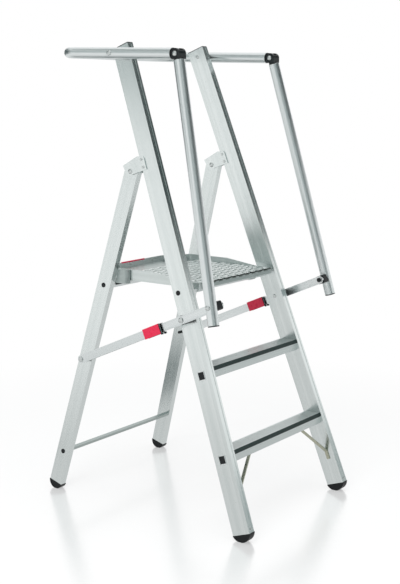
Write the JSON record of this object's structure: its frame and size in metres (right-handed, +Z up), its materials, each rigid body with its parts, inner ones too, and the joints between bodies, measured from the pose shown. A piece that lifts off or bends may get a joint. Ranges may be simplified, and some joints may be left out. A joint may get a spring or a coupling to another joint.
{
  "type": "podium step",
  "caption": "Folding aluminium podium step: treads up a leaning front frame to a hinged deck, with a guard rail on drop tubes and a rear support frame held by locking side arms.",
  "frame": {"origin": "on the floor, in the middle of the footprint of the four feet", "axes": "+Z up, +Y to the rear (the way the climber faces), +X to the climber's right"},
  "size_m": [0.7176, 0.853, 1.5216],
  "materials": {
    "stile_aluminium": "fine brushed, natural anodised",
    "deck_aluminium": "mill finish sheet with pressed ribs",
    "tube_aluminium": "smooth drawn tube, natural anodised",
    "zinc_steel": "dull zinc plate",
    "black_plastic": "moulded, fine grain",
    "foot_rubber": "moulded, matt",
    "nosing_rubber": "extruded, matt",
    "red_plastic": "moulded, semi-gloss"
  },
  "bodies": {
    "front_frame": {"left_front_stile": "stile_aluminium", "right_front_stile": "stile_aluminium", "front_stile_caps": "black_plastic", "front_left_foot": "foot_rubber", "front_right_foot": "foot_rubber", "lower_tread": "stile_aluminium", "upper_tread": "stile_aluminium", "tread_nosings": "nosing_rubber", "front_plugs": "black_plastic", "tread_stays": "zinc_steel", "deck_pivot_tube": "tube_aluminium", "left_hinge_bracket": "stile_aluminium", "right_hinge_bracket": "stile_aluminium", "bracket_rivets": "zinc_steel", "hinge_pins": "zinc_steel", "arm_bushes": "black_plastic", "arm_pivot_bolts": "zinc_steel", "rail_bushes": "black_plastic", "rail_pivot_bolts": "zinc_steel"},
    "rear_frame": {"left_rear_stile": "stile_aluminium", "right_rear_stile": "stile_aluminium", "rear_left_foot": "foot_rubber", "rear_right_foot": "foot_rubber", "deck_rest_tube": "tube_aluminium", "rest_sleeves": "foot_rubber", "deck_guides": "stile_aluminium", "lower_cross_bar": "stile_aluminium", "rear_plugs": "black_plastic", "brace_bushes": "black_plastic"},
    "platform": {"deck_tray": "deck_aluminium", "deck_straps": "stile_aluminium", "deck_edge_strips": "red_plastic", "deck_rivets": "zinc_steel"},
    "guard_rail": {"guard_rail": "tube_aluminium", "rail_end_plugs": "black_plastic"},
    "left_arm_link": {"left_arm": "stile_aluminium", "left_arm_cap": "black_plastic"},
    "left_brace_link": {"left_brace": "stile_aluminium", "left_brace_bolts": "zinc_steel"},
    "left_lock": {"left_lock_sleeve": "red_plastic", "left_lock_catch": "black_plastic"},
    "left_drop": {"left_drop_tube": "tube_aluminium", "left_elbow": "black_plastic", "left_elbow_pin": "zinc_steel", "left_drop_bush": "black_plastic", "left_drop_bolt": "zinc_steel", "left_drop_cap": "black_plastic"},
    "right_arm_link": {"right_arm": "stile_aluminium", "right_arm_cap": "black_plastic"},
    "right_brace_link": {"right_brace": "stile_aluminium", "right_brace_bolts": "zinc_steel"},
    "right_lock": {"right_lock_sleeve": "red_plastic", "right_lock_catch": "black_plastic"},
    "right_drop": {"right_drop_tube": "tube_aluminium", "right_elbow": "black_plastic", "right_elbow_pin": "zinc_steel", "right_drop_bush": "black_plastic", "right_drop_bolt": "zinc_steel", "right_drop_cap": "black_plastic"}
  },
  "joints": [
    {"name": "rear_fold", "type": "hinge", "parent": "front_frame", "child": "rear_frame", "pos_m": [0, 0.09072, 1.1138], "axis": [-1, 0, 0], "range_deg": [0, 35.9]},
    {"name": "platform_lift", "type": "hinge", "parent": "front_frame", "child": "platform", "pos_m": [0, -0.11824, 0.74356], "axis": [1, 0, 0], "range_deg": [0, 69.91]},
    {"name": "rail_fold", "type": "hinge", "parent": "front_frame", "child": "guard_rail", "pos_m": [0, 0.13991, 1.48535], "axis": [1, 0, 0], "range_deg": [0, 57.34]},
    {"name": "left_arm_swing", "type": "hinge", "parent": "front_frame", "child": "left_arm_link", "pos_m": [-0.293, -0.15936, 0.66756], "axis": [1, 0, 0], "range_deg": [0, 81.26]},
    {"name": "left_knee_fold", "type": "hinge", "parent": "left_arm_link", "child": "left_brace_link", "pos_m": [-0.293, -0.01639, 0.60515], "axis": [-1, 0, 0], "range_deg": [0, 160.09]},
    {"name": "left_drop_swing", "type": "hinge", "parent": "guard_rail", "child": "left_drop", "pos_m": [-0.258, -0.12308, 1.478], "axis": [-1, 0, 0], "range_deg": [0, 62.49]},
    {"name": "left_lock_slide", "type": "slide", "parent": "left_brace_link", "child": "left_lock", "axis": [0, 0.9165, -0.4001], "range_m": [0, 0.045], "stiffness_N_per_m": 150, "springref_m": -0.01},
    {"name": "right_arm_swing", "type": "hinge", "parent": "front_frame", "child": "right_arm_link", "pos_m": [0.293, -0.15936, 0.66756], "axis": [1, 0, 0], "range_deg": [0, 81.26]},
    {"name": "right_knee_fold", "type": "hinge", "parent": "right_arm_link", "child": "right_brace_link", "pos_m": [0.293, -0.01639, 0.60515], "axis": [-1, 0, 0], "range_deg": [0, 160.09]},
    {"name": "right_drop_swing", "type": "hinge", "parent": "guard_rail", "child": "right_drop", "pos_m": [0.258, -0.12308, 1.478], "axis": [-1, 0, 0], "range_deg": [0, 62.49]},
    {"name": "right_lock_slide", "type": "slide", "parent": "right_brace_link", "child": "right_lock", "axis": [0, 0.9165, -0.4001], "range_m": [0, 0.045], "stiffness_N_per_m": 150, "springref_m": -0.01}
  ],
  "couplings": [
    {"joint": "platform_lift", "follows": "rear_fold", "ratio": 1.9471},
    {"joint": "rail_fold", "follows": "rear_fold", "ratio": 1.5969},
    {"joint": "left_arm_swing", "follows": "rear_fold", "ratio": 2.2634},
    {"joint": "left_knee_fold", "follows": "rear_fold", "ratio": 4.459},
    {"joint": "left_drop_swing", "follows": "rear_fold", "ratio": 1.7404},
    {"joint": "right_arm_swing", "follows": "rear_fold", "ratio": 2.2634},
    {"joint": "right_knee_fold", "follows": "rear_fold", "ratio": 4.459},
    {"joint": "right_drop_swing", "follows": "rear_fold", "ratio": 1.7404}
  ]
}
